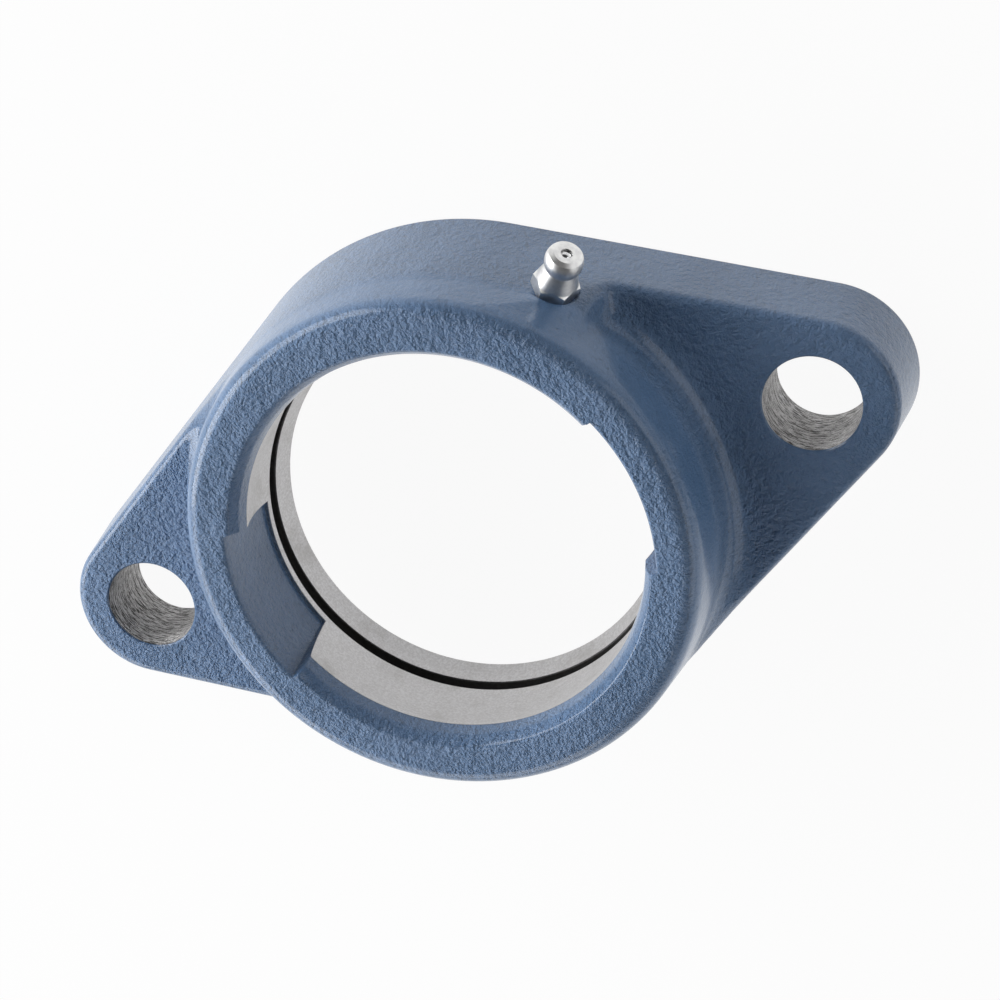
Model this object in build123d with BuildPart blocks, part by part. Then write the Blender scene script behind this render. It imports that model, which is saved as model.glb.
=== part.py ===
from build123d import *
from math import acos, atan2, cos, degrees, radians, sin, sqrt, tan
import os

# Two-bolt oval flanged bearing housing with a lubrication nipple. Millimetres.
# +Z is the bore axis, from the mounting face at z = 0 to the mouth. The two bolt holes lie on X,
# and the nipple leans out over the +X +Y side.

# Flange plan and casting
bolt_spacing = 130.0
bolt_hole_d = 16.5
flange_t = 15.3
flange_end_r = 15.7  # outline round each bolt hole, at the mounting face
flange_mid_r = 47.7  # outline round the bore, at the mounting face
height = 33.4
draft = 5.0  # moulding draft of every outside wall, degrees
flange_edge_r = 1.6
mouth_edge_r = 3.0
root_fillet_r = 5.0  # concave fillet where the hub stands on the flange
hub_bottom_extra = 0.5  # the hub's own cone stands out past the plan by this at the flange
hub_top_inset = 0.15  # and lies inside it by this at the mouth

# Bore, from the mouth inwards
mouth_r = 36.6
mouth_chamfer = 1.2
mouth_chamfer_len = 2.2
seat_r = 36.0  # spherical seat for the bearing's outer ring
seat_z = 19.5
seat_front_z = 28.4
seat_back_z = 8.0
groove_z = 13.5
groove_w = 3.4
groove_depth = 1.6
recess_r = 40.0  # relief behind the seat, open to the mounting face
recess_corner_r = 2.0

# Loading slots, through which a bearing is swung into the seat
slot_w = 28.6
slot_draft = 6.0
slot_bottom_z = 15.9
slot_mouth_r = 37.7
slot_bottom_r = 36.5

# Nipple boss and drilling
nipple_azimuth = 45.0
nipple_tilt = 24.0  # lean towards the mouth, degrees
nipple_z = 20.4  # height of the nipple's seat on its own axis
boss_from = 36.5  # the boss spans these azimuths, degrees
boss_to = 72.0
boss_toe_extra = 5.65  # how far the boss stands out past the plan at the flange
boss_top_inset = 1.35
boss_top_drop = 1.8  # the boss runs out this far under the mouth
thread_d = 6.0
thread_clearance = 0.05
shank_len = 5.5
tap_extra = 1.0
tap_drill_d = 5.0
spot_clearance = 0.25

# Nipple
hex_af = 7.0
hex_h = 1.95  # height of the hexagon's corners
hex_turn = 10.0
shoulder_r = 3.6
shoulder_z = 2.35
head_d = 6.5
head_z = 7.1  # height of the head's widest ring over the seat
neck_r = 2.7
crown_r = 2.85
tip_r = 2.1
tip_z = 9.05
orifice_r = 1.0
lip_t = 0.55
cavity_r = 1.5
crimp_r = 0.8
crimp_t = 0.6
ball_r = 1.3
ball_travel = 1.0
wire_d = 0.36
coil_r = 1.0  # mean radius of the spring
spring_turns = 7
contact_gap = 0.03

slope = tan(radians(draft))


def plan_r(z):
    """Outline radius round the bore at height z."""
    return flange_mid_r - z * slope


def seat_r_at(z):
    """Radius of the spherical seat at height z."""
    return sqrt(seat_r**2 - (z - seat_z) ** 2)


def plan_at(z):
    """The oval outline at height z, drawn in by the draft."""
    with BuildSketch(Plane.XY.offset(z)) as plan:
        Circle(plan_r(z))
        with Locations((-bolt_spacing / 2, 0), (bolt_spacing / 2, 0)):
            Circle(flange_end_r - z * slope)
        make_hull()
    return plan.sketch


# --- Housing: one iron casting, machined in the bore, the bolt holes and the nipple's hole

with BuildPart() as flange:
    loft([plan_at(0), plan_at(flange_t)], ruled=True)
    rim = flange.faces().sort_by(Axis.Z)[-1].edges()
    fillet(rim, flange_edge_r)

# The plan carried up to the mouth bounds everything that stands on the flange
with BuildPart() as tall_plan:
    loft([plan_at(0), plan_at(height)], ruled=True)

hub_r0 = plan_r(flange_t) + hub_bottom_extra
hub_r1 = plan_r(height) - hub_top_inset
hub_lean = atan2(hub_r0 - hub_r1, height - flange_t)
toe = root_fillet_r * tan((radians(90) - hub_lean) / 2)  # tangent length of the root fillet

with BuildPart() as hub:
    with BuildSketch(Plane.XZ) as hub_profile:
        with BuildLine():
            Polyline(
                (0, 0),
                (hub_r0 + toe, 0),
                (hub_r0 + toe, flange_t),
                (hub_r0, flange_t),
                (hub_r1, height),
                (0, height),
                close=True,
            )
        make_face()
        root = hub_profile.vertices().sort_by_distance((hub_r0, 0, flange_t))[0]
        fillet(root, root_fillet_r)
        lip = hub_profile.vertices().sort_by_distance((hub_r1, 0, height))[0]
        fillet(lip, mouth_edge_r)
    revolve(axis=Axis.Z)
    add(tall_plan.part, mode=Mode.INTERSECT)

# The boss under the nipple fills the corner between the hub and the flange's long edge
boss_top_z = height - boss_top_drop
boss_side = Plane.XZ.rotated((0, 0, boss_from))

with BuildPart() as boss:
    with BuildSketch(boss_side):
        with BuildLine():
            Polyline(
                (0, 0),
                (plan_r(flange_t) + boss_toe_extra, 0),
                (plan_r(flange_t) + boss_toe_extra, flange_t),
                (plan_r(boss_top_z) - boss_top_inset, boss_top_z),
                (0, boss_top_z),
                close=True,
            )
        make_face()
    revolve(axis=Axis.Z, revolution_arc=boss_to - boss_from)
    add(tall_plan.part, mode=Mode.INTERSECT)

# Everything that is bored away, as one turned form
groove_low = groove_z - groove_w / 2
groove_high = groove_z + groove_w / 2
throat_r = mouth_r - mouth_chamfer

with BuildPart() as bore:
    with BuildSketch(Plane.XZ) as bore_profile:
        with BuildLine():
            Polyline(
                (0, 0),
                (recess_r, 0),
                (recess_r, seat_back_z),
                (seat_r_at(seat_back_z), seat_back_z),
            )
            RadiusArc(
                (seat_r_at(seat_back_z), seat_back_z),
                (seat_r_at(groove_low), groove_low),
                -seat_r,
            )
            Polyline(
                (seat_r_at(groove_low), groove_low),
                (seat_r + groove_depth, groove_low),
                (seat_r + groove_depth, groove_high),
                (seat_r_at(groove_high), groove_high),
            )
            RadiusArc(
                (seat_r_at(groove_high), groove_high),
                (seat_r_at(seat_front_z), seat_front_z),
                -seat_r,
            )
            Polyline(
                (seat_r_at(seat_front_z), seat_front_z),
                (throat_r, height - mouth_chamfer_len),
                (mouth_r, height),
                (0, height),
                (0, 0),
            )
        make_face()
        corner = bore_profile.vertices().sort_by_distance((recess_r, 0, seat_back_z))[0]
        fillet(corner, recess_corner_r)
    revolve(axis=Axis.Z)

with BuildPart() as slots:
    with BuildSketch(Plane.XZ):
        with BuildLine():
            Polyline(
                (0, slot_bottom_z),
                (slot_bottom_r, slot_bottom_z),
                (slot_mouth_r, height),
                (0, height),
                close=True,
            )
        make_face()
    revolve(axis=Axis.Z)
    with BuildSketch(Plane.XY.offset(height)):
        Rectangle(4 * slot_mouth_r, slot_w)
    extrude(amount=slot_bottom_z - height, taper=slot_draft, mode=Mode.INTERSECT)

# The nipple's axis starts on the flange's long edge face, whose normal has this azimuth
edge_azimuth = acos((flange_mid_r - flange_end_r) / (bolt_spacing / 2))
azimuth = radians(nipple_azimuth)
tilt = radians(nipple_tilt)
seat_rho = plan_r(nipple_z) / cos(edge_azimuth - azimuth)
nipple_foot = Vector(seat_rho * cos(azimuth), seat_rho * sin(azimuth), nipple_z)
outward = Vector(cos(azimuth) * cos(tilt), sin(azimuth) * cos(tilt), sin(tilt))
sideways = Vector(-sin(azimuth), cos(azimuth), 0)
nipple_seat = Plane(origin=nipple_foot, x_dir=sideways, z_dir=outward)
nipple_half = Plane(origin=nipple_foot, x_dir=sideways, z_dir=sideways.cross(outward))
nipple_axis = Axis(nipple_foot, outward)
hex_corner_r = hex_af / 2 / cos(radians(30))
drill_len = (seat_rho - seat_r) / cos(tilt) + tap_drill_d / 2

with BuildPart() as housing:
    add(flange.part)
    add(hub.part)
    add(boss.part)
    add(bore.part, mode=Mode.SUBTRACT)
    add(slots.part, mode=Mode.SUBTRACT)
    with BuildSketch():
        with Locations((-bolt_spacing / 2, 0), (bolt_spacing / 2, 0)):
            Circle(bolt_hole_d / 2)
    extrude(amount=flange_t, mode=Mode.SUBTRACT)
    with BuildSketch(nipple_seat):
        Circle(hex_corner_r + spot_clearance)
    extrude(amount=hex_h * 2, mode=Mode.SUBTRACT)
    with BuildSketch(nipple_seat):
        Circle(thread_d / 2 + thread_clearance)
    extrude(amount=-(shank_len + tap_extra), mode=Mode.SUBTRACT)
    with BuildSketch(nipple_seat):
        Circle(tap_drill_d / 2)
    extrude(amount=-drill_len, mode=Mode.SUBTRACT)

# --- Nipple body: hexagon, ball head and hollow shank turned from one bar

lip_z = tip_z - lip_t
drop = sqrt((head_d / 2) ** 2 - neck_r**2)
rise = sqrt((head_d / 2) ** 2 - crown_r**2)

with BuildPart() as nipple_body:
    with BuildSketch(nipple_seat):
        RegularPolygon(hex_corner_r, 6, rotation=hex_turn)
    extrude(amount=head_z - drop)
    with BuildSketch(nipple_half):
        with BuildLine():
            Polyline(
                (0, 0),
                (hex_corner_r, 0),
                (hex_corner_r, hex_h),
                (shoulder_r, shoulder_z),
                (neck_r, head_z - drop),
                (0, head_z - drop),
                close=True,
            )
        make_face()
    revolve(axis=nipple_axis, mode=Mode.INTERSECT)
    with BuildSketch(nipple_half):
        with BuildLine():
            Line((0, head_z - drop), (neck_r, head_z - drop))
            RadiusArc((neck_r, head_z - drop), (crown_r, head_z + rise), -head_d / 2)
            Polyline((crown_r, head_z + rise), (tip_r, tip_z), (0, tip_z), (0, head_z - drop))
        make_face()
    revolve(axis=nipple_axis)
    with BuildSketch(nipple_seat):
        Circle(thread_d / 2)
    extrude(amount=-shank_len)
    with BuildSketch(nipple_half):
        with BuildLine():
            Polyline(
                (0, -shank_len),
                (crimp_r, -shank_len),
                (crimp_r, crimp_t - shank_len),
                (cavity_r, crimp_t - shank_len),
                (cavity_r, lip_z - cavity_r + orifice_r),
                (orifice_r, lip_z),
                (orifice_r, tip_z),
                (0, tip_z),
                close=True,
            )
        make_face()
    revolve(axis=nipple_axis, mode=Mode.SUBTRACT)

# --- Check ball, just inside the orifice's edge

ball_z = lip_z - sqrt(ball_r**2 - orifice_r**2) - contact_gap
ball_centre = nipple_foot + outward * ball_z

with BuildPart() as check_ball:
    with BuildSketch(nipple_half):
        with BuildLine():
            CenterArc((0, ball_z), ball_r, -90, 180)
            Line((0, ball_z + ball_r), (0, ball_z - ball_r))
        make_face()
    revolve(axis=nipple_axis)

# --- Spring, from the crimped end of the shank to the ball

spring_low = crimp_t - shank_len + wire_d / 2 + contact_gap
spring_high = ball_z - sqrt((ball_r + wire_d / 2) ** 2 - coil_r**2) - contact_gap

with BuildPart() as ball_spring:
    with BuildLine():
        coil = Helix(
            pitch=(spring_high - spring_low) / spring_turns,
            height=spring_high - spring_low,
            radius=coil_r,
            center=nipple_foot + outward * spring_low,
            direction=outward,
        )
    with BuildSketch(Plane(origin=coil @ 0, z_dir=coil % 0)):
        Circle(wire_d / 2)
    sweep(is_frenet=True)

housing.part.label = "housing"
nipple_body.part.label = "nipple_body"
check_ball.part.label = "check_ball"
ball_spring.part.label = "ball_spring"

os.makedirs("parts", exist_ok=True)
export_step(housing.part, "parts/housing.step")
export_step(nipple_body.part, "parts/nipple_body.step")
export_step(check_ball.part, "parts/check_ball.step")
export_step(ball_spring.part, "parts/ball_spring.step")
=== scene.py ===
import math

import bpy
import numpy as np
from mathutils import Matrix, Vector


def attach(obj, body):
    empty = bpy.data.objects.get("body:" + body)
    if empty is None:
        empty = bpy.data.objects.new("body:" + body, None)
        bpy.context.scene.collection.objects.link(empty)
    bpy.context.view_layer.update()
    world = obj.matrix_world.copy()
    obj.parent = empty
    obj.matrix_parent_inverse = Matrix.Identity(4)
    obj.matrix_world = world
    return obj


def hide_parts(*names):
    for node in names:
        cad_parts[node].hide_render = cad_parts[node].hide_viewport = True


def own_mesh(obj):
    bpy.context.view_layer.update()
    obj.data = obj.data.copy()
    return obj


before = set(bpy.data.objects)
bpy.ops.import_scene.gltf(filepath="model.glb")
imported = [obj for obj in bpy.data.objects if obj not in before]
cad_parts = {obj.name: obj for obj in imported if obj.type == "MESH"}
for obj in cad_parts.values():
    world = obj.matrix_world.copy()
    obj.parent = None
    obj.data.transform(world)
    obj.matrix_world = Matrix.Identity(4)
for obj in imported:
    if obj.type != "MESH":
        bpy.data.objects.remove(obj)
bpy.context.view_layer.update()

MM = 0.001

# ---------------------------------------------------------------- sizes, in millimetres
BOLT_X = 65.0
BOLT_HOLE_R = 8.25
DRAFT = math.tan(math.radians(5.0))
FLANGE_T = 15.3
FLANGE_MID_R = 47.7
FLANGE_END_R = 15.7
HEIGHT = 33.4
SEAT_R = 36.0
SEAT_Z = 19.5
SEAT_FRONT_Z = 28.4
SEAT_BACK_Z = 8.0
GROOVE_R = 37.6
GROOVE_Z = 13.55
GROOVE_HALF = 1.15
RECESS_R = 40.0
RECESS_CORNER = 2.0
RECESS_CHAMFER_R = RECESS_R + 0.3

EDGE_ROUND = 1.6
MOUTH_ROUND = 3.0
ROOT_FILLET = 5.0
MOUTH_R = 36.6
THROAT_R = 35.4
THROAT_Z = HEIGHT - 2.2

SLOT_FLOOR_Z = 15.9
SLOT_HALF = 14.3
SLOT_LEAN = math.tan(math.radians(6.0))
SLOT_MOUTH_R = 37.7
SLOT_FLOOR_R = 36.5

# The flange's straight edge touches the middle and the end circles at this azimuth
EDGE_AZIMUTH = math.acos((FLANGE_MID_R - FLANGE_END_R) / BOLT_X)

HUB_LOW_R = FLANGE_MID_R - FLANGE_T * DRAFT + 0.5
HUB_HIGH_R = FLANGE_MID_R - HEIGHT * DRAFT - 0.15
HUB_SLOPE = (HUB_LOW_R - HUB_HIGH_R) / (HEIGHT - FLANGE_T)

BOSS_FROM = math.radians(37.6)
BOSS_TO = math.radians(72.0)
BOSS_SIDE_LEAN = 0.9
BOSS_TOP_Z = HEIGHT - 1.8
BOSS_LOW_R = FLANGE_MID_R - FLANGE_T * DRAFT + 5.65
BOSS_HIGH_R = FLANGE_MID_R - BOSS_TOP_Z * DRAFT - 1.35
BOSS_SLOPE = (BOSS_LOW_R - BOSS_HIGH_R) / (BOSS_TOP_Z - FLANGE_T)
BOSS_CREST_ROUND = 0.7
BOSS_FILLET = 1.4

# The nipple's foot stands on the drafted wall, over the flange's long edge
NIPPLE_AZIMUTH = math.radians(45.0)
NIPPLE_TILT = math.radians(24.0)
NIPPLE_Z = 20.4
NIPPLE_RHO = (FLANGE_MID_R - NIPPLE_Z * DRAFT) / math.cos(EDGE_AZIMUTH - NIPPLE_AZIMUTH)
OUTWARD = np.array([
    math.cos(NIPPLE_AZIMUTH) * math.cos(NIPPLE_TILT),
    math.sin(NIPPLE_AZIMUTH) * math.cos(NIPPLE_TILT),
    math.sin(NIPPLE_TILT),
])
SIDEWAYS = np.array([-math.sin(NIPPLE_AZIMUTH), math.cos(NIPPLE_AZIMUTH), 0.0])
NIPPLE_FOOT = np.array([
    NIPPLE_RHO * math.cos(NIPPLE_AZIMUTH),
    NIPPLE_RHO * math.sin(NIPPLE_AZIMUTH),
    NIPPLE_Z,
])
NIPPLE_SHANK_R = 3.05
NIPPLE_HEX_R = 4.29
PASSAGE_R = 2.5

# Along the nipple's axis from its foot: the spring's centreline, from where it rests to its top
SPRING_LOW = -4.69
SPRING_HIGH = 6.5

FLOOR_WHITE = 0.94
WORLD_FILL = 0.02
WORLD_IN_GLOSS = 0.06
LAMP_DISTANCE = 1.0
LAMP_SIZE = (0.65, 0.5)
LAMP_AIM = Vector((0.0, 0.0, 0.015))
# Name, azimuth and elevation in degrees, watts
STUDIO_LAMPS = [
    ("right_softbox", 0, 20, 1.7),
    ("top_left_softbox", 120, 20, 5.8),
    ("left_softbox", 160, 20, 7.8),
    ("low_left_softbox", 200, 20, 3.9),
    ("low_softbox", 240, 20, 2.6),
    ("low_right_softbox", 320, 20, 1.5),
]

CAMERA_LENS = 97.911
CAMERA_PLACE = (0.188910, 0.140814, 0.422323)
# The camera's right, down and ahead
CAMERA_AXES = (
    (0.881570, -0.396119, -0.256759),
    (-0.267383, -0.867267, 0.419946),
    (-0.389027, -0.301559, -0.870472),
)


# ---------------------------------------------------------------- material making
class Wire:
    """One output of a material's node. Sums written with wires add the Math nodes they need."""

    def __init__(self, finish, socket):
        self.finish = finish
        self.socket = socket

    def math(self, operation, *values):
        made = self.finish.node("ShaderNodeMath", {"operation": operation}, [self, *values])
        return made["Value"]

    def __add__(self, other):
        return self.math("ADD", other)

    def __sub__(self, other):
        return self.math("SUBTRACT", other)

    def __rsub__(self, other):
        return (self * -1.0).math("ADD", other)

    def __mul__(self, other):
        return self.math("MULTIPLY", other)

    def __pow__(self, other):
        return self.math("POWER", other)

    __radd__ = __add__
    __rmul__ = __mul__

    def rise(self, low, high):
        """0 below low, 1 above high and a smooth step between; with high under low it falls."""
        made = self.finish.node(
            "ShaderNodeMapRange",
            {"interpolation_type": "SMOOTHSTEP"},
            {"Value": self, "From Min": low, "From Max": high},
        )
        return made["Result"]

    def stretch(self, low, high, to_low, to_high):
        """A straight line from to_low at low to to_high at high, held level outside."""
        made = self.finish.node(
            "ShaderNodeMapRange",
            {},
            {"Value": self, "From Min": low, "From Max": high, "To Min": to_low, "To Max": to_high},
        )
        return made["Result"]


class Finish:
    """A material being made: every node comes from node(), and coat() ends it."""

    def __init__(self, name):
        self.material = bpy.data.materials.new(name)
        self.material.use_nodes = True
        self.tree = self.material.node_tree
        self.tree.nodes.clear()
        place = self.node("ShaderNodeTexCoord", {}, {})["Object"]
        in_mm = {"Vector": place, "Scale": 1.0 / MM}
        self.place = self.node("ShaderNodeVectorMath", {"operation": "SCALE"}, in_mm)["Vector"]

    def node(self, kind, settings, sockets):
        """Adds a node, sets its settings, then its sockets by name, or in order for a list."""
        made = self.tree.nodes.new(kind)
        for key, value in settings.items():
            setattr(made, key, value)
        live = [s for s in made.inputs if s.enabled]
        if isinstance(sockets, list):
            pairs = list(zip(live, sockets))
        else:
            pairs = [(next(s for s in live if s.name == name), v) for name, v in sockets.items()]
        for socket, value in pairs:
            if isinstance(value, Wire):
                self.tree.links.new(value.socket, socket)
            elif isinstance(value, tuple) and socket.type == "RGBA":
                socket.default_value = (*value, 1.0)
            else:
                socket.default_value = value
        return {s.name: Wire(self, s) for s in made.outputs if s.enabled}

    def split(self, vector):
        made = self.node("ShaderNodeSeparateXYZ", {}, {"Vector": vector})
        return made["X"], made["Y"], made["Z"]

    def join(self, x, y, z):
        return self.node("ShaderNodeCombineXYZ", {}, {"X": x, "Y": y, "Z": z})["Vector"]

    def dot(self, vector, direction):
        pair = [vector, tuple(direction)]
        return self.node("ShaderNodeVectorMath", {"operation": "DOT_PRODUCT"}, pair)["Value"]

    def noise(self, scale, detail=2.0, roughness=0.5, vector=None):
        """Perlin noise of about 0.5, with scale cycles in a millimetre."""
        made = self.node(
            "ShaderNodeTexNoise",
            {},
            {
                "Vector": vector or self.place,
                "Scale": scale,
                "Detail": detail,
                "Roughness": roughness,
                "Distortion": 0.0,
            },
        )
        return made["Fac"] if "Fac" in made else made["Factor"]

    def cells(self, scale):
        """Distance from the nearest of scattered points, scale of them in a millimetre."""
        made = self.node("ShaderNodeTexVoronoi", {}, {"Vector": self.place, "Scale": scale})
        return made["Distance"]

    def mix(self, share, first, second):
        """first where share is 0 and second where it is 1, for colours."""
        ends = {"Factor": share, "A": first, "B": second}
        return self.node("ShaderNodeMix", {"data_type": "RGBA"}, ends)["Result"]

    def blend(self, share, first, second):
        """The same for plain numbers."""
        ends = {"Factor": share, "A": first, "B": second}
        return self.node("ShaderNodeMix", {"data_type": "FLOAT"}, ends)["Result"]

    def coat(self, height, **looks):
        """Ends the material: looks are the shader's sockets, height is relief in millimetres."""
        sockets = {name.replace("_", " "): value for name, value in looks.items()}
        relief = {"Strength": 1.0, "Distance": MM, "Height": height}
        sockets["Normal"] = self.node("ShaderNodeBump", {}, relief)["Normal"]
        surface = self.node("ShaderNodeBsdfPrincipled", {}, sockets)["BSDF"]
        self.node("ShaderNodeOutputMaterial", {}, {"Surface": surface})
        return self.material


# ---------------------------------------------------------------- finishes
def enamelled_iron():
    """Blue gloss enamel on a sand casting, with bare iron where it was bored, drilled or faced."""
    f = Finish("enamelled_iron")
    x, y, z = f.split(f.place)
    ring = (x * x + y * y) ** 0.5
    from_seat = ((z - SEAT_Z) * (z - SEAT_Z) + ring * ring) ** 0.5
    side = x.math("ABSOLUTE") - BOLT_X
    from_bolt = (side * side + y * y) ** 0.5

    seat = from_seat.rise(SEAT_R + 0.16, SEAT_R + 0.1) * ring.rise(20.0, 21.0)
    groove_top = GROOVE_Z + GROOVE_HALF
    groove = z.rise(groove_top + 0.12, groove_top + 0.04)
    groove = groove * ring.rise(RECESS_R + 0.5, RECESS_R + 0.3)
    recess = z.rise(SEAT_BACK_Z + 0.1, SEAT_BACK_Z) * ring.rise(RECESS_R + 0.3, RECESS_R + 0.1)
    bored = seat.math("MAXIMUM", groove).math("MAXIMUM", recess)
    drilled = from_bolt.rise(BOLT_HOLE_R + 0.12, BOLT_HOLE_R + 0.05)
    faced = z.rise(0.06, 0.03)
    bare = bored.math("MAXIMUM", drilled).math("MAXIMUM", faced)
    groove_grease_and_shade = groove * from_seat.rise(SEAT_R + 0.1, SEAT_R + 0.4)
    groove_grease_and_shade = groove_grease_and_shade * z.rise(SEAT_BACK_Z, SEAT_BACK_Z + 1.0)

    # Enamel over the cast skin: lumps a millimetre across, finer grain, a few pits; it is
    # smoother on the hub's side, and paler and sandier on the shelf at the foot of each slot
    lumps = f.noise(0.85, 3.0, 0.62)
    swell = f.noise(0.12, 2.0, 0.5)
    grain = f.noise(2.4, 2.0, 0.6)
    pits = f.cells(0.3).rise(0.1, 0.02)
    sand = f.noise(1.4, 3.0, 0.7)
    hub_side = ring.rise(43.6, 45.0) * z.rise(FLANGE_T + 5.0, FLANGE_T + 9.0)
    rough = f.blend(hub_side, 1.0, 0.35)
    skin = (lumps * 1.15 + grain * 0.42 + swell * 0.8) * rough - pits * 0.2
    shelf = z.rise(SLOT_FLOOR_Z + 0.3, SLOT_FLOOR_Z + 0.1)
    shelf = shelf * z.rise(SLOT_FLOOR_Z - 0.3, SLOT_FLOOR_Z - 0.1)
    shelf = shelf * ring.rise(42.0, 41.0) * (1.0 - bare)
    skin = skin + sand * shelf * 0.5
    tone = f.noise(0.05, 3.0, 0.6)
    blue = f.mix(tone.rise(0.35, 0.65), (0.085, 0.172, 0.325), (0.115, 0.212, 0.385))
    # painted shade: the enamel is darkened in the hollows of the cast lumps
    blue = f.mix(lumps.rise(0.45, 0.3) * 0.35, blue, (0.045, 0.1, 0.2))
    # painted highlight: paler blue glints on the peaks of the fine grain
    blue = f.mix(grain.rise(0.6, 0.8) * 0.4, blue, (0.2, 0.3, 0.46))
    blue = f.mix(shelf * 0.75, blue, (0.2, 0.27, 0.37))

    # Bare iron: fine turned rings in the bore and on the back, reamed rings in the bolt holes
    feed = f.noise(1.0, 2.0, 0.6, f.join(from_seat * 0.02, 0.0, z * 7.0))
    face_feed = f.noise(1.0, 2.0, 0.6, f.join(ring * 5.0, 0.0, 0.0))
    reamed = f.noise(1.0, 3.0, 0.6, f.join(x * 0.12, y * 0.12, z * 3.0))
    speck = f.noise(2.2, 3.0, 0.7)
    stain = f.noise(0.16, 3.0, 0.6)
    iron = f.mix(speck.rise(0.35, 0.7), (0.5, 0.49, 0.49), (0.68, 0.675, 0.68))
    iron = f.mix(stain.rise(0.5, 0.75) * 0.35, iron, (0.3, 0.29, 0.27))
    flakes = f.noise(1.0, 4.0, 0.75, f.join(x * 0.5, y * 0.5, z * 4.5))
    iron = f.mix(flakes.rise(0.47, 0.56) * drilled, iron, (0.035, 0.033, 0.03))
    # the groove is darkened to near black: partly grease, partly painted shade in the recess
    iron = f.mix(groove_grease_and_shade * 0.8, iron, (0.06, 0.055, 0.05))
    marks = feed * 0.05 * bored + face_feed * 0.05 * faced
    marks = marks + (reamed * 0.3 + flakes * -0.3) * drilled
    gloss = grain.stretch(0.3, 0.7, 0.34, 0.46)
    polish = speck.stretch(0.3, 0.7, 0.32, 0.5)

    return f.coat(
        height=f.blend(bare, skin, marks),
        Base_Color=f.mix(bare, blue, iron),
        Metallic=bare * 0.85,
        Roughness=f.blend(bare, gloss, polish),
        Coat_Weight=(1.0 - bare) * 0.6,
        Coat_Roughness=0.16,
    )


def turned_steel(name, light, dark, roughness, ring_scale):
    """Bright steel with fine turned rings round the nipple's axis."""
    f = Finish(name)
    along = f.dot(f.place, OUTWARD) - float(NIPPLE_FOOT @ OUTWARD)
    rings = f.noise(1.0, 2.0, 0.6, f.join(along * ring_scale, 0.0, 0.0))
    cloud = f.noise(0.9, 2.0, 0.6)
    return f.coat(
        height=rings * 0.02,
        Base_Color=f.mix(cloud.rise(0.3, 0.7), dark, light),
        Metallic=1.0,
        Roughness=rings.stretch(0.3, 0.7, roughness, roughness + 0.12),
    )


def drawn_wire():
    """Spring wire: cloudy grey with a dull sheen."""
    f = Finish("drawn_wire")
    cloud = f.noise(3.0, 2.0, 0.6)
    return f.coat(
        height=cloud * 0.01,
        Base_Color=f.mix(cloud.rise(0.3, 0.7), (0.3, 0.3, 0.3), (0.55, 0.55, 0.54)),
        Metallic=1.0,
        Roughness=cloud.stretch(0.3, 0.7, 0.3, 0.42),
    )


def dress(piece, material):
    piece.data.materials.clear()
    piece.data.materials.append(material)


dress(
    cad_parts["nipple_body"],
    turned_steel("zinc_steel", (0.9, 0.9, 0.89), (0.74, 0.74, 0.74), 0.34, ring_scale=6.0),
)
dress(
    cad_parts["check_ball"],
    turned_steel("ball_steel", (0.75, 0.75, 0.76), (0.65, 0.65, 0.66), 0.1, ring_scale=1.0),
)


# ---------------------------------------------------------------- the casting's form
def round_join(a, b, radius):
    """Two solids together, given by their distances, with a hollow fillet where they meet:
    max(radius, min(a, b)) less the length of (radius - a, radius - b), each held above 0."""
    corner = np.hypot(np.maximum(radius - a, 0.0), np.maximum(radius - b, 0.0))
    return np.maximum(radius, np.minimum(a, b)) - corner


def round_cut(a, b, radius):
    """What two solids share, with the edge where they meet rounded off:
    min(-radius, max(a, b)) plus the length of (radius + a, radius + b), each held above 0."""
    corner = np.hypot(np.maximum(radius + a, 0.0), np.maximum(radius + b, 0.0))
    return np.minimum(-radius, np.maximum(a, b)) + corner


def smooth(share):
    """0 to 1 with level ends."""
    return share * share * (3.0 - 2.0 * share)


def halve(low, high, inside, times):
    """Where the iron ends between low, inside it, and high, outside it."""
    for _ in range(times):
        middle = (low + high) / 2
        iron = inside(middle)
        low, high = np.where(iron, middle, low), np.where(iron, high, middle)
    return low


def plan_distance(x, y):
    """Distance outside the oval plan at the back: the middle circle, the end circles and the
    straight edges that touch both, chosen by the place along the edge."""
    x, y = np.abs(x), np.abs(y)
    along = x * math.sin(EDGE_AZIMUTH) - y * math.cos(EDGE_AZIMUTH)
    straight = x * math.cos(EDGE_AZIMUTH) + y * math.sin(EDGE_AZIMUTH) - FLANGE_MID_R
    middle = np.hypot(x, y) - FLANGE_MID_R
    end = np.hypot(x - BOLT_X, y) - FLANGE_END_R
    past_end = along > BOLT_X * math.sin(EDGE_AZIMUTH)
    return np.where(along < 0, middle, np.where(past_end, end, straight))


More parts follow.
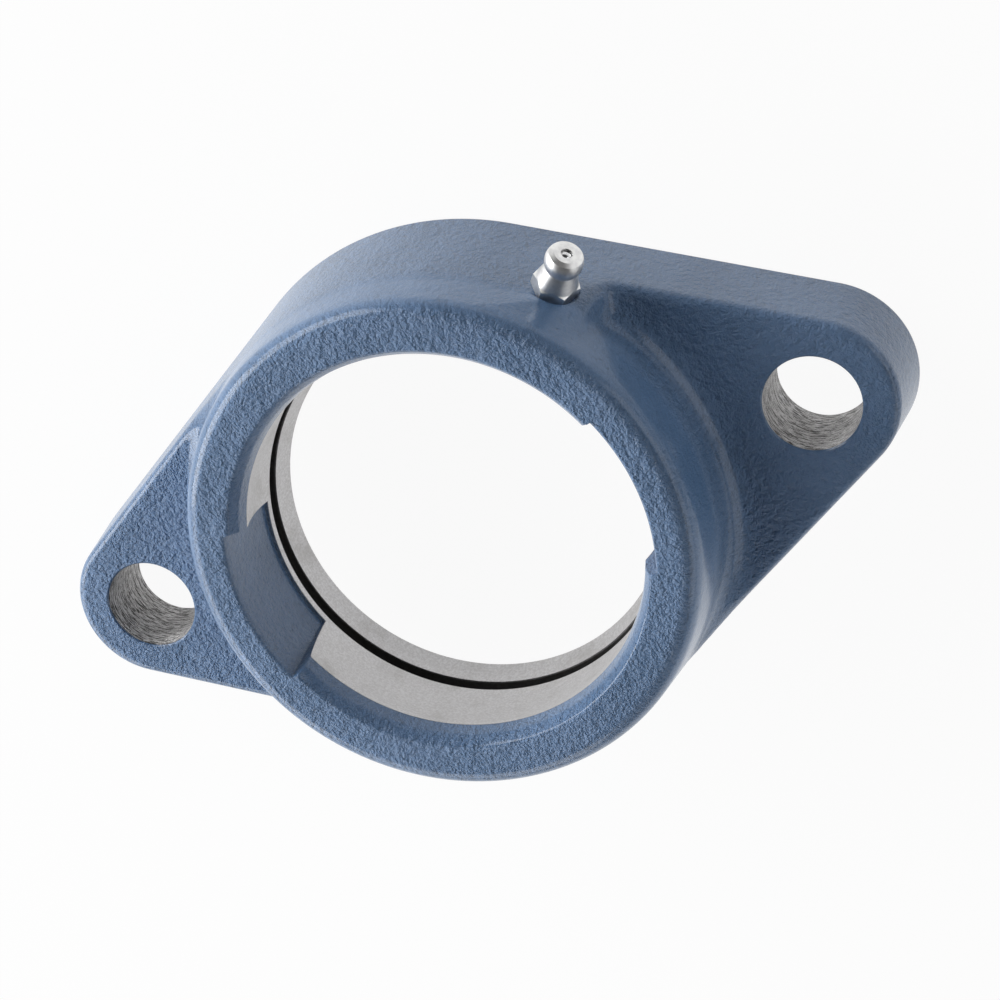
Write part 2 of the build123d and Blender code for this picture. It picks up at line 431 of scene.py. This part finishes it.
def cast_skin(rho, azimuth, z):
    """Distance outside the cast skin, in a half plane through the bore's axis: hub and flange
    joined by the root fillet, then the boss, cut by the drafted wall and by the mouth."""
    x, y = rho * np.cos(azimuth), rho * np.sin(azimuth)
    wall = (plan_distance(x, y) + z * DRAFT) / math.hypot(1.0, DRAFT)
    hub = (rho - HUB_LOW_R + (z - FLANGE_T) * HUB_SLOPE) / math.hypot(1.0, HUB_SLOPE)
    boss = (rho - BOSS_LOW_R + (z - FLANGE_T) * BOSS_SLOPE) / math.hypot(1.0, BOSS_SLOPE)
    side = rho * np.sin(BOSS_FROM - azimuth) + BOSS_SIDE_LEAN * boss
    boss = round_cut(boss, side / math.hypot(1.0, BOSS_SIDE_LEAN), BOSS_CREST_ROUND)
    boss = np.maximum(boss, rho * np.sin(azimuth - BOSS_TO))
    body = round_join(hub, z - FLANGE_T, ROOT_FILLET)
    body = round_join(body, boss, BOSS_FILLET)
    # The flange's edge is rounded where it stands out from the hub, and not where they are flush
    hub_in_plan = plan_distance(HUB_LOW_R * np.cos(azimuth), HUB_LOW_R * np.sin(azimuth))
    ledge = np.clip((-hub_in_plan - FLANGE_T * DRAFT) / 3.0, 0.0, 1.0)
    body = round_cut(body, wall, EDGE_ROUND * smooth(ledge))
    return round_cut(body, z - HEIGHT, MOUTH_ROUND)


def outline_azimuths(count):
    """Azimuths shared out half by the distance gone round the plan and half by the angle, and the
    plan's reach at fine azimuths."""
    fine = np.linspace(0.0, 2.0 * math.pi, 20001)
    reach = halve(
        np.full_like(fine, 30.0),
        np.full_like(fine, 90.0),
        lambda rho: plan_distance(rho * np.cos(fine), rho * np.sin(fine)) < 0,
        40,
    )
    steps = np.hypot(np.diff(reach * np.cos(fine)), np.diff(reach * np.sin(fine)))
    gone = np.concatenate([[0.0], np.cumsum(steps)])
    gone = gone / gone[-1] + fine / (2.0 * math.pi)
    return np.interp(np.linspace(0.0, 2.0, count + 1)[:-1], gone, fine), (fine, reach)


def slot_wall(z):
    """Azimuth of a loading slot's leaning side wall at height z, and its floor's radius there."""
    held = np.maximum(z, SLOT_FLOOR_Z)
    half = SLOT_HALF - (HEIGHT - held) * SLOT_LEAN
    rise = (held - SLOT_FLOOR_Z) * (SLOT_MOUTH_R - SLOT_FLOOR_R) / (HEIGHT - SLOT_FLOOR_Z)
    floor = SLOT_FLOOR_R + rise
    return np.arcsin(half / floor), floor


def casting(name):
    """The housing's whole skin, as rows round the section by columns round the bore.

    Outside, each column looks out from a point inside the iron, and halving finds where
    cast_skin is 0 along each line of sight. Inside, rows follow the bored profile: chamfer,
    throat, spherical seat, groove, seat, relief; the columns lean with the slots' walls, and
    the radius steps out to the slots' floor across a few close columns.
    """
    even, (fine, back_reach) = outline_azimuths(560)
    mouth_wall = float(slot_wall(np.array(HEIGHT))[0])
    soft = np.radians(np.array([-0.9, -0.6, -0.35, -0.15, 0.05, 0.25, 0.5, 0.8]))
    full_turn = 2.0 * math.pi
    walls = np.concatenate([
        side + sign * (mouth_wall + soft) for side in (0.0, math.pi) for sign in (-1.0, 1.0)
    ]) % full_turn
    apart = np.abs((even[:, None] - walls + math.pi) % full_turn - math.pi).min(1)
    columns = np.sort(np.concatenate([even[~(apart < math.radians(0.35))], walls]))
    back = np.interp(columns, fine, back_reach)

    # Lines of sight, from the back edge round to the mouth's inner edge
    eye_rho, eye_z = 42.4, 7.0
    level = 0.0 * back
    top = back - FLANGE_T * DRAFT / np.cos(0.3)
    rim_inner = np.where(inside_slot(columns, mouth_wall), SLOT_MOUTH_R, MOUTH_R) + 0.55
    stations = [
        (back, level),
        (top, level + FLANGE_T - 2.6),
        (top - 2.6, level + FLANGE_T),
        (level + HUB_LOW_R + 6.0, level + FLANGE_T),
        (level + HUB_LOW_R, level + FLANGE_T + 6.0),
        (level + HUB_HIGH_R + 0.4, level + HEIGHT - 4.2),
        (level + HUB_HIGH_R - 3.6, level + HEIGHT),
        (rim_inner, level + HEIGHT),
    ]
    sight = np.array([np.arctan2(z - eye_z, rho - eye_rho) for rho, z in stations])
    least = math.radians(1.2) * np.arange(len(stations))[:, None]
    sight[:-1] = np.maximum.accumulate(sight - least, 0)[:-1] + least[:-1]
    steps = [6, 10, 9, 14, 9, 12, 5]
    outside = [sight[:1]]
    for k, n in enumerate(steps):
        share = np.linspace(0, 1, n + 1)[1:, None]
        outside.append(sight[k] * (1 - share) + sight[k + 1] * share)
    outside = np.concatenate(outside)

    def seen(reach):
        return eye_rho + reach * np.cos(outside), eye_z + reach * np.sin(outside)

    def in_iron(reach):
        rho, z = seen(reach)
        return cast_skin(rho, columns, z) < 0

    nearest, farthest = np.full_like(outside, 1.0), np.full_like(outside, 60.0)
    rho_out, z_out = seen(halve(nearest, farthest, in_iron, 44))
    azimuth_out = np.broadcast_to(columns, rho_out.shape)

    # The bored profile, from the mouth down; each entry is radius and height
    def seat(z):
        return np.sqrt(SEAT_R**2 - (z - SEAT_Z) ** 2)

    lip = [
        (MOUTH_R + 0.3, HEIGHT - 0.04),
        (MOUTH_R + 0.08, HEIGHT - 0.16),
        (MOUTH_R - 0.1, HEIGHT - 0.38),
    ]
    throat = [
        (THROAT_R + 0.1, THROAT_Z + 0.18),
        (THROAT_R, THROAT_Z - 0.15),
        (35.15, 29.8),
        (34.9, SEAT_FRONT_Z + 0.12),
    ]
    shelf = [SLOT_FLOOR_Z + 0.25, SLOT_FLOOR_Z, SLOT_FLOOR_Z - 0.04]
    upper = [(seat(z), z) for z in np.concatenate([np.linspace(SEAT_FRONT_Z, 16.6, 11), shelf])]
    high_z, low_z = GROOVE_Z + GROOVE_HALF, GROOVE_Z - GROOVE_HALF
    groove = [(GROOVE_R, high_z), (GROOVE_R, GROOVE_Z), (GROOVE_R, low_z)]
    groove = [(seat(high_z), high_z), *groove, (seat(low_z), low_z)]
    lower = [(seat(z), z) for z in np.linspace(low_z, SEAT_BACK_Z, 5)[1:]]
    corner_r, corner_z = RECESS_R - RECESS_CORNER, SEAT_BACK_Z - RECESS_CORNER
    corner = [
        (corner_r + RECESS_CORNER * math.sin(a), corner_z + RECESS_CORNER * math.cos(a))
        for a in np.linspace(0, math.pi / 2, 6)
    ]
    relief = [(36.0, SEAT_BACK_Z), *corner, (RECESS_R, 0.35), (RECESS_CHAMFER_R, 0.0)]
    profile = np.array(lip + throat + upper + groove + lower + relief)
    z_in = profile[:, 1][:, None] + 0.0 * columns

    # Columns lean with the walls: inside a slot, beside it, and across the few at its edge
    wall, floor = slot_wall(z_in)
    signed = (columns + math.pi / 2) % math.pi - math.pi / 2
    gone = np.abs(signed) - mouth_wall
    quarter = math.pi / 2
    first, last = float(soft[0]), float(soft[-1])
    beside = (quarter - wall - last) / (quarter - mouth_wall - last)
    stretched = np.where(
        gone < first,
        np.abs(signed) * (wall + first) / (mouth_wall + first),
        np.where(gone > last, quarter - (quarter - np.abs(signed)) * beside, wall + gone),
    )
    fade = np.clip((z_in - SEAT_BACK_Z) / 4.0, 0.0, 1.0)
    azimuth_in = columns + np.sign(signed) * (stretched - np.abs(signed)) * fade
    inward = smooth(np.clip(-gone / math.radians(0.75) + 0.45, 0.0, 1.0))
    in_slot = np.where(z_in >= SLOT_FLOOR_Z - 1e-6, inward, 0.0)
    lip_rise = np.zeros_like(z_in)
    lip_rise[:3] = np.array([0.3, 0.08, -0.02])[:, None]
    turned = profile[:, 0][:, None]
    rho_in = turned + (np.maximum(floor + lip_rise, turned) - turned) * in_slot

    # Across the back face, out to the first row again
    share = np.linspace(0, 1, 8)[1:-1, None]
    rho_back = RECESS_CHAMFER_R * (1 - share) + back * share
    azimuth_back = np.broadcast_to(columns, rho_back.shape)

    rho = np.concatenate([rho_out, rho_in, rho_back])
    azimuth = np.concatenate([azimuth_out, azimuth_in, azimuth_back])
    z = np.concatenate([z_out, z_in, 0.0 * rho_back])
    points = np.stack([rho * np.cos(azimuth), rho * np.sin(azimuth), z], -1) * MM
    return wrapped_surface(name, points)


def inside_slot(columns, wall):
    """True for columns that meet a loading slot's floor rather than the mouth ring."""
    return np.abs((columns + math.pi / 2) % math.pi - math.pi / 2) < wall - math.radians(0.3)


def new_piece(name, points, faces):
    """An object in the scene from a grid or list of points, in metres, and its faces."""
    mesh = bpy.data.meshes.new(name)
    mesh.from_pydata(points.reshape(-1, 3).tolist(), [], faces)
    mesh.update()
    piece = bpy.data.objects.new(name, mesh)
    bpy.context.scene.collection.objects.link(piece)
    return piece


def tube_faces(rows, columns, flip):
    """Four-sided faces between rows of points that close on themselves, with a cap at each end.
    flip turns the sides over, for rows that run the other way round."""
    i, j = np.meshgrid(np.arange(rows - 1), np.arange(columns), indexing="ij")
    k = (j + 1) % columns
    corners = [i * columns + j, i * columns + k, (i + 1) * columns + k, (i + 1) * columns + j]
    if flip:
        corners = [corners[0], corners[3], corners[2], corners[1]]
    sides = np.stack(corners, -1).reshape(-1, 4).tolist()
    first_cap = list(range(columns))[::-1]
    last_cap = list(range((rows - 1) * columns, rows * columns))
    return [*sides, first_cap, last_cap]


def wrapped_surface(name, points):
    """A mesh from a grid of points whose rows and columns both close on themselves."""
    rows, columns = points.shape[:2]
    i, j = np.meshgrid(np.arange(rows), np.arange(columns), indexing="ij")
    down, across = (i + 1) % rows, (j + 1) % columns
    corners = [i * columns + j, i * columns + across, down * columns + across, down * columns + j]
    return new_piece(name, points, np.stack(corners, -1).reshape(-1, 4).tolist())


def turned_cutter(name, profile, foot, axis, side, segments=96):
    """A closed turned solid, for cutting: profile is (radius, height) from end to end, and
    each ring is foot + height * axis + radius (cos a * side + sin a * third)."""
    axis, side = np.array(axis, float), np.array(side, float)
    third = np.cross(axis, side)
    a = np.linspace(0, 2 * math.pi, segments + 1)[:-1]
    radius, height = np.array(profile, float).T
    ring = np.cos(a)[:, None] * side + np.sin(a)[:, None] * third
    points = (np.array(foot) + height[:, None, None] * axis + radius[:, None, None] * ring) * MM
    return new_piece(name, points, tube_faces(len(profile), segments, flip=False))


def cut(piece, cutter):
    """Takes the cutter's solid out of the piece, and the cutter out of the scene."""
    step = piece.modifiers.new(cutter.name, "BOOLEAN")
    step.operation = "DIFFERENCE"
    step.solver = "EXACT"
    step.object = cutter
    bpy.context.view_layer.update()
    after = piece.evaluated_get(bpy.context.evaluated_depsgraph_get())
    done = bpy.data.meshes.new_from_object(after)
    piece.modifiers.clear()
    old, piece.data = piece.data, done
    bpy.data.meshes.remove(old)
    bpy.data.objects.remove(cutter)


def housing_piece():
    """The casting with chamfered bolt holes and the nipple's hole, which runs into the groove."""
    piece = casting("cast_housing")
    bolt_profile = [
        (9.6, -1.0), (8.6, 0.0), (8.33, 0.25), (BOLT_HOLE_R, 0.6), (BOLT_HOLE_R, FLANGE_T - 0.6),
        (8.33, FLANGE_T - 0.25), (8.6, FLANGE_T), (9.6, FLANGE_T + 1.0), (9.6, FLANGE_T + 3.0),
    ]
    for x in (-BOLT_X, BOLT_X):
        cut(piece, turned_cutter("bolt_hole", bolt_profile, (x, 0, 0), (0, 0, 1), (1, 0, 0)))
    hole = [
        (PASSAGE_R, -14.5), (PASSAGE_R, -6.5), (NIPPLE_SHANK_R, -6.5), (NIPPLE_SHANK_R, 0.0),
        (NIPPLE_HEX_R, 0.0), (NIPPLE_HEX_R, 4.2),
    ]
    cut(piece, turned_cutter("nipple_hole", hole, NIPPLE_FOOT, OUTWARD, SIDEWAYS, 64))
    piece.data.name = "cast_housing"
    piece.data.polygons.foreach_set("use_smooth", np.ones(len(piece.data.polygons), bool))
    piece.data.set_sharp_from_angle(angle=math.radians(34))
    piece.data.update()
    dress(piece, enamelled_iron())
    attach(piece, "root")
    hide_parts("housing")


housing_piece()


# ---------------------------------------------------------------- the nipple's spring
def wound_spring(name, low, high, mean_r, wire_r, live_turns, end_turns):
    """A round wire swept along a helix with closed end turns.

    At angle t the centreline stands at mean_r (cos t, sin t) and at a height that climbs by one
    wire in each end turn and evenly over the live turns. The ring of each section has the angle a:
    centre + wire_r (cos a * outwards + sin a * upwards), and the last rings shrink to close it.
    """
    turns = live_turns + 2 * end_turns
    along = np.linspace(0.0, turns, int(turns * 40) + 1)
    closed = 2 * wire_r * 1.02
    climb = (high - low - 2 * end_turns * closed) / live_turns
    height = low + np.interp(
        along,
        [0, end_turns, end_turns + live_turns, turns],
        [0, end_turns * closed, end_turns * closed + live_turns * climb, high - low],
    )
    angle = 2 * math.pi * along
    round_wire = np.linspace(0, 2 * math.pi, 17)[:-1]
    taper = np.ones_like(along)
    taper[[0, -1]] = 0.02
    reach = mean_r + wire_r * taper[:, None] * np.cos(round_wire)
    lift = height[:, None] + wire_r * taper[:, None] * np.sin(round_wire)
    across = np.cross(OUTWARD, SIDEWAYS)
    points = (
        NIPPLE_FOOT
        + (reach * np.cos(angle)[:, None])[..., None] * SIDEWAYS
        + (reach * np.sin(angle)[:, None])[..., None] * across
        + lift[..., None] * OUTWARD
    ) * MM
    piece = new_piece(name, points, tube_faces(*reach.shape, flip=True))
    piece.data.polygons.foreach_set("use_smooth", np.ones(len(piece.data.polygons), bool))
    piece.data.update()
    return piece


spring = wound_spring(
    "nipple_spring", SPRING_LOW, SPRING_HIGH, mean_r=1.0, wire_r=0.18, live_turns=5.0, end_turns=1.0
)
dress(spring, drawn_wire())
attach(spring, "root")
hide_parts("ball_spring")
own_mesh(spring)


# ---------------------------------------------------------------- floor, light, camera
def floor_finish():
    """White paper that glows to the camera and in reflections, and otherwise scatters light."""
    f = Finish("studio_paper")
    seen = f.node("ShaderNodeLightPath", {}, {})
    shown = seen["Is Camera Ray"].math("MAXIMUM", seen["Is Glossy Ray"])
    paper = f.node("ShaderNodeBsdfDiffuse", {}, {"Color": (0.86, 0.86, 0.86)})["BSDF"]
    glow = {"Color": (1.0, 1.0, 1.0), "Strength": 1.0}
    white = f.node("ShaderNodeEmission", {}, glow)["Emission"]
    face = f.node("ShaderNodeMixShader", {}, [shown * FLOOR_WHITE, paper, white])["Shader"]
    f.node("ShaderNodeOutputMaterial", {}, {"Surface": face})
    return f.material


def studio_floor():
    half, z = 3.0, -0.1 * MM
    corners = np.array([(-half, -half, z), (half, -half, z), (half, half, z), (-half, half, z)])
    floor = new_piece("studio_floor", corners, [(0, 1, 2, 3)])
    dress(floor, floor_finish())


def softbox(name, azimuth, elevation, power):
    """An area lamp that faces the housing's middle from the given direction, in degrees."""
    lamp = bpy.data.lights.new(name, "AREA")
    lamp.shape = "RECTANGLE"
    lamp.size, lamp.size_y = LAMP_SIZE
    lamp.energy = power
    stand = bpy.data.objects.new(name, lamp)
    az, el = math.radians(azimuth), math.radians(elevation)
    towards = Vector((math.cos(az) * math.cos(el), math.sin(az) * math.cos(el), math.sin(el)))
    towards.normalize()
    stand.location = towards * LAMP_DISTANCE + LAMP_AIM
    stand.rotation_mode = "QUATERNION"
    stand.rotation_quaternion = towards.to_track_quat("Z", "Y")
    bpy.context.scene.collection.objects.link(stand)


def world_light(tree):
    """A faint white fill all round, and a brighter white room for what the gloss reflects."""
    background = tree.nodes["Background"]
    background.inputs["Color"].default_value = (1.0, 1.0, 1.0, 1.0)
    path = tree.nodes.new("ShaderNodeLightPath")
    level = tree.nodes.new("ShaderNodeMapRange")
    level.inputs["To Min"].default_value = WORLD_FILL
    level.inputs["To Max"].default_value = WORLD_IN_GLOSS
    tree.links.new(path.outputs["Is Glossy Ray"], level.inputs["Value"])
    tree.links.new(level.outputs["Result"], background.inputs["Strength"])


def studio():
    scene = bpy.context.scene
    world = bpy.data.worlds.new("studio")
    scene.world = world
    world.use_nodes = True
    world_light(world.node_tree)
    for lamp in STUDIO_LAMPS:
        softbox(*lamp)
    studio_floor()
    scene.view_settings.view_transform = "Standard"


def camera():
    """Looks at the mouth from the nipple's side."""
    lens = bpy.data.cameras.new("camera")
    lens.sensor_width = 36.0
    lens.lens = CAMERA_LENS
    lens.clip_start = 0.01
    eye = bpy.data.objects.new("camera", lens)
    right, down, ahead = (np.array(v) for v in CAMERA_AXES)
    turn = np.stack([right, -down, -ahead], 1)
    eye.matrix_world = Matrix.Translation(Vector(CAMERA_PLACE)) @ Matrix(turn.tolist()).to_4x4()
    bpy.context.scene.collection.objects.link(eye)
    bpy.context.scene.camera = eye


studio()
camera()
